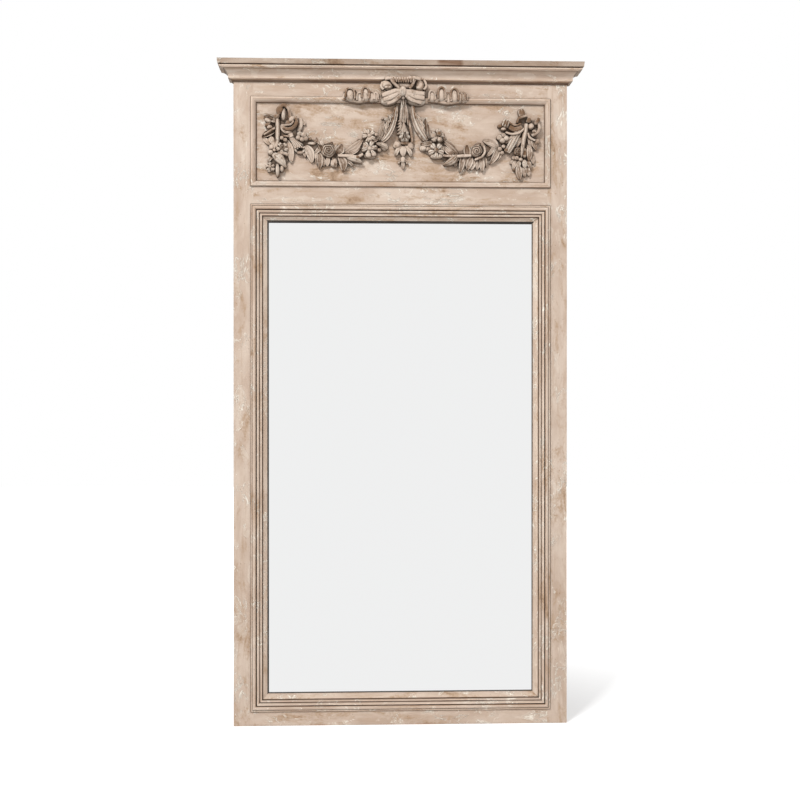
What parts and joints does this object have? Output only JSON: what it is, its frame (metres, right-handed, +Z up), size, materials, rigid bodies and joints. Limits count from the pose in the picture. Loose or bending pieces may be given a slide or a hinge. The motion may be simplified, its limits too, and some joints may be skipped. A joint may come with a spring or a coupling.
{
  "type": "trumeau mirror",
  "caption": "Tall painted trumeau wall mirror with a cornice, a frieze of carved ribbon and flower swags over a framed mirror glass, and hanging rings on the back.",
  "frame": {"origin": "centre of the flat bottom edge of the frame, midway between its front and back faces", "axes": "+X to the right seen from the front, +Y to the back towards the wall, +Z up"},
  "size_m": [0.98, 0.096, 1.78],
  "materials": {
    "painted_wood": "old cream paint over softwood, rubbed to brown wood on the raised edges and chipped in patches",
    "bare_wood": "unpainted aged softwood",
    "mirror": "silvered glass",
    "iron": "dull dark iron",
    "steel": "dull zinc-plated steel",
    "felt": "dark pressed felt"
  },
  "bodies": {
    "frame": {"backing_board": "bare_wood", "backing_nails": "iron", "bottom_rail": "painted_wood", "bow": "painted_wood", "centre_pendant": "painted_wood", "cornice_board": "painted_wood", "cornice_front": "painted_wood", "cornice_return_left": "painted_wood", "cornice_return_right": "painted_wood", "drop_left": "painted_wood", "drop_right": "painted_wood", "frieze_moulding_bottom": "painted_wood", "frieze_moulding_left": "painted_wood", "frieze_moulding_right": "painted_wood", "frieze_moulding_top": "painted_wood", "frieze_panel": "painted_wood", "hanger_screws": "steel", "hanger_strap_left": "steel", "hanger_strap_right": "steel", "joint_pegs": "bare_wood", "left_stile": "painted_wood", "middle_rail": "painted_wood", "mirror_glass": "mirror", "mirror_moulding_bottom": "painted_wood", "mirror_moulding_left": "painted_wood", "mirror_moulding_right": "painted_wood", "mirror_moulding_top": "painted_wood", "ribbon_tail_left": "painted_wood", "ribbon_tail_right": "painted_wood", "right_stile": "painted_wood", "setting_blocks": "bare_wood", "sight_slip_bottom": "painted_wood", "sight_slip_left": "painted_wood", "sight_slip_right": "painted_wood", "sight_slip_top": "painted_wood", "swag_left": "painted_wood", "swag_right": "painted_wood", "top_rail": "painted_wood", "wall_pads": "felt"},
    "left_ring": {"hanger_ring_left": "steel"},
    "right_ring": {"hanger_ring_right": "steel"}
  },
  "joints": [
    {"name": "left_ring_hinge", "type": "hinge", "parent": "frame", "child": "left_ring", "pos_m": [-0.4225, 0.0266, 1.54], "axis": [1, 0, 0], "range_deg": [0, 175]},
    {"name": "right_ring_hinge", "type": "hinge", "parent": "frame", "child": "right_ring", "pos_m": [0.4225, 0.0266, 1.54], "axis": [1, 0, 0], "range_deg": [0, 175]}
  ]
}
